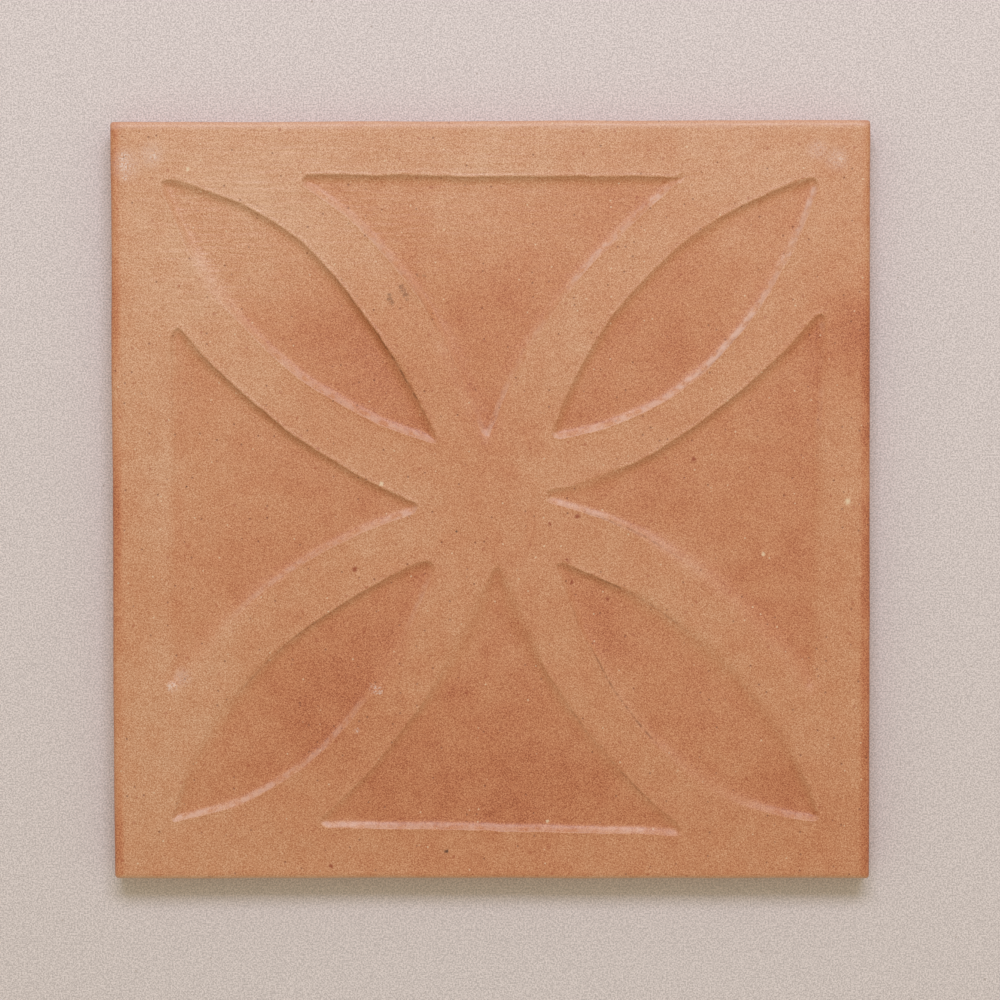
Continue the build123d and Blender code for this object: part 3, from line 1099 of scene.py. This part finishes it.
# %% Set the single marks
MARKS = (
    # Painted shade: a dark smudge for the shade in a small dent, which the mesh doesn't have.
    ("painted_dent_shade", "#512f1b", 0.50, 0.42, (
        (-26.5, 54.4, 0.6), (-26.4, 53.2, 0.8), (-25.9, 52.3, 0.8), (-23.4, 56.5, 0.8), (-22.9, 55.4, 0.9),
        (-22.3, 54.3, 0.9), (-21.8, 53.2, 0.6), (-19.0, 59.6, 0.5), (-17.4, 59.4, 0.5),
    )),
    ("haze", "#dcc4bf", 0.24, 0.42, (
        (-95.6, 88.8, 4.6), (-89.2, 91.2, 3.8), (91.0, 89.8, 3.4), (86.0, 92.0, 3.0), (-81.6, -46.4, 2.6),
    )),
    ("chalk", "#ecdcd6", 0.55, 0.53, (
        (-96.3, 90.6, 1.5), (-96.2, 88.4, 1.8), (-95.9, 85.4, 1.0), (-88.4, 90.8, 1.1), (92.0, 89.6, 0.7),
        (-84.3, -49.0, 1.5), (-31.0, -49.6, 1.2), (-29.6, -50.1, 1.2), (-35.4, -60.7, 0.8),
    )),
    ("iron", "#8e3410", 0.80, 0.0, (
        (23.0, -4.0, 0.8), (53.6, 10.9, 0.8), (-42.5, -96.6, 0.7), (-35.9, -17.9, 0.8),
        (-6.6, -50.9, 0.5), (15.5, -6.0, 0.5), (20.3, -15.5, 0.5), (21.4, -21.5, 0.5), (30.9, -25.9, 0.7),
    )),
    ("dark iron", "#3a1208", 0.85, 0.0, ((-11.9, -92.7, 0.6), (-8.9, -8.0, 0.3), (-80.4, 4.0, 0.3))),
    ("lime", "#ecd6b6", 0.65, 0.0, (
        (-28.8, 4.6, 0.7), (94.0, -0.2, 0.8), (71.9, -14.2, 0.5), (15.0, -85.0, 0.5), (-79.5, 87.5, 0.5),
    )),
)
RAGGED_EDGE = 0.6

ragged = clay.vector("SUBTRACT", clay.clouds(spot, 0.8, output="Color"), (0.5, 0.5, 0.5))
ragged = clay.vector("MULTIPLY", ragged, (RAGGED_EDGE * 2, RAGGED_EDGE * 2, 0))
ragged_spot = clay.vector("ADD", clay.vector("MULTIPLY", spot, (1, 1, 0)), ragged)
on_face = clay.ramp(spot_parts["Z"], 0.5 * land / MM, 0.7 * land / MM)
fine_noise = clay.clouds(spot, 0.5)
for kind, code, strength, broken_above, places in MARKS:
    covered = 0.0
    for x, y, radius in places:
        away = clay.add("ShaderNodeVectorMath", {0: ragged_spot, 1: (x, y, 0)}, operation="DISTANCE")
        mark = clay.ramp(away.outputs["Value"], 1.3 * radius, 0.3 * radius)
        covered = clay.math("MAXIMUM", covered, mark)
    if broken_above:
        catches = clay.ramp(fine_noise, broken_above - 0.12, broken_above + 0.14)
        covered = clay.times(covered, catches)
    clay_colour = cover(clay, clay_colour, clay.times(covered, on_face, strength), code)
    print(len(places), "marks of", kind)

# %% [markdown]
# The surface itself has four kinds of unevenness: the sand grain, soft bumps a millimetre or two
# wide, the long streaks of the scraper, and tiny pits at the dark specks. Their heights are in
# millimetres. The gloss is satin: rough clay, rubbed a little smooth.

# %% Shape the surface and finish the material
GRAIN_HEIGHT = 0.05
BUMP_HEIGHT = 0.09
STREAK_HEIGHT = 0.22
PIT_HEIGHT = -0.06
STREAK_STRETCH = (0.14, 1.0, 1.0)

streaks = clay.clouds(clay.vector("MULTIPLY", spot, STREAK_STRETCH), 1.3)
surface = clay.plus(
    clay.times(grain, GRAIN_HEIGHT),
    clay.times(clay.clouds(spot, 2.2), BUMP_HEIGHT),
    clay.times(streaks, stored("scraped"), STREAK_HEIGHT),
    clay.times(speck_masks["dark"], PIT_HEIGHT),
)
bump = clay.add("ShaderNodeBump", {"Strength": 1.0, "Distance": MM, "Height": surface})
roughness = clay.ramp(clay.clouds(spot, 12.0), 0.3, 0.7, 0.40, 0.50)
shader = clay.add("ShaderNodeBsdfPrincipled", {
    "Base Color": clay_colour, "Roughness": roughness, "Normal": bump.outputs[0],
})
clay.add("ShaderNodeOutputMaterial", {0: shader.outputs[0]})
print("The clay's material has", len(fired_clay.node_tree.nodes), "nodes")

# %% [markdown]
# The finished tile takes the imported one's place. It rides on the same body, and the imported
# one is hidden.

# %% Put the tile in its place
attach(tile, "root")
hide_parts("tile_body")
print("The tile rides on root")

# %% [markdown]
# The tile lies on a plain pale sheet of card, under one large soft lamp beyond its upper edge. The
# rest of the light comes evenly from all round. Together they add up to a level at which a colour
# renders about as it is written. The sky is seen by the camera as the colour of the card.

# %% Lay the card
CARD_COLOUR = "#d3c6c6"
CARD_HALF = 2.0
CARD_DROP = 0.05 * MM
FIBRE_SWING = 0.24

card_mesh = bpy.data.meshes.new("card")
card_corners = [(x, y, -CARD_DROP) for x, y in ((-1, -1), (1, -1), (1, 1), (-1, 1))]
card_corners = [(x * CARD_HALF, y * CARD_HALF, z) for x, y, z in card_corners]
card_mesh.from_pydata(card_corners, [], [(0, 1, 2, 3)])
card = new_object("card", card_mesh)
card_paper = bpy.data.materials.new("card_paper")
paper = empty_nodes(card_paper)
paper_place = paper.place_in_mm()
fibres = paper.ramp(paper.clouds(paper_place, 0.4), 0.3, 0.7, 1 - FIBRE_SWING, 1 + FIBRE_SWING)
fibre_colour = paper.add("ShaderNodeCombineColor", {n: fibres for n in range(3)}).outputs[0]
paper_colour = mix_colour(paper, 1.0, linear(CARD_COLOUR), fibre_colour, "MULTIPLY")
bits = specks(paper, paper_place, 4.0, 0.25, 6)
paper_colour = cover(paper, paper_colour, paper.times(bits, 0.45), "#8d7a6c")
paper_shader = paper.add("ShaderNodeBsdfPrincipled", {"Base Color": paper_colour, "Roughness": 0.9})
paper.add("ShaderNodeOutputMaterial", {0: paper_shader.outputs[0]})
card_mesh.materials.append(card_paper)
print("The card is", 2 * CARD_HALF, "m wide")

# %% Hang the lamp and light the room
LAMP_PLACE = Vector((0.05, 0.70, 0.96))
LAMP_WIDTH = 0.75
LAMP_DEPTH = 0.35
LAMP_POWER = 8.8
LAMP_COLOUR = (0.775, 0.83, 1.0)
ROOM_LIGHT = 0.59
ROOM_COLOUR = (1.0, 0.955, 0.70, 1.0)

lamp_data = bpy.data.lights.new("soft_lamp", "AREA")
lamp_data.shape = "RECTANGLE"
lamp_data.size = LAMP_WIDTH
lamp_data.size_y = LAMP_DEPTH
lamp_data.energy = LAMP_POWER
lamp_data.color = LAMP_COLOUR
lamp = new_object("soft_lamp", lamp_data)
lamp.location = LAMP_PLACE
lamp.rotation_euler = (-LAMP_PLACE).to_track_quat("-Z", "Y").to_euler()

room = bpy.data.worlds.new("room")
air = empty_nodes(room)
from_camera = air.add("ShaderNodeLightPath").outputs["Is Camera Ray"]
even_light = air.add("ShaderNodeBackground", {"Color": ROOM_COLOUR, "Strength": ROOM_LIGHT})
seen = air.add("ShaderNodeBackground", {"Color": linear(CARD_COLOUR), "Strength": 1.0})
both = air.add("ShaderNodeMixShader", {0: from_camera, 1: even_light.outputs[0], 2: seen.outputs[0]})
air.add("ShaderNodeOutputWorld", {0: both.outputs[0]})
bpy.context.scene.world = room
print("Lamp at", [round(part, 2) for part in LAMP_PLACE], "m")

# %% [markdown]
# The camera looks straight down, a little off the middle and a touch askew. A long lens keeps the
# square nearly square. Its turn and place were worked out from where the tile's four corners lie in
# the photograph.

# %% Set up the camera
CAMERA_PLACE = Vector((10.3, 22.5, 741.8)) * MM
CAMERA_TURN = (-1.737, 0.608, -0.103)
LENS = 100.0
SENSOR = 36.0

camera_data = bpy.data.cameras.new("camera")
camera_data.lens = LENS
camera_data.sensor_width = SENSOR
camera = new_object("camera", camera_data)
camera.location = CAMERA_PLACE
camera.rotation_euler = Euler([math.radians(turn) for turn in CAMERA_TURN], "XYZ")
bpy.context.scene.camera = camera
bpy.context.scene.view_settings.view_transform = "Standard"
print("Camera", round(CAMERA_PLACE.z, 3), "m above the bed")
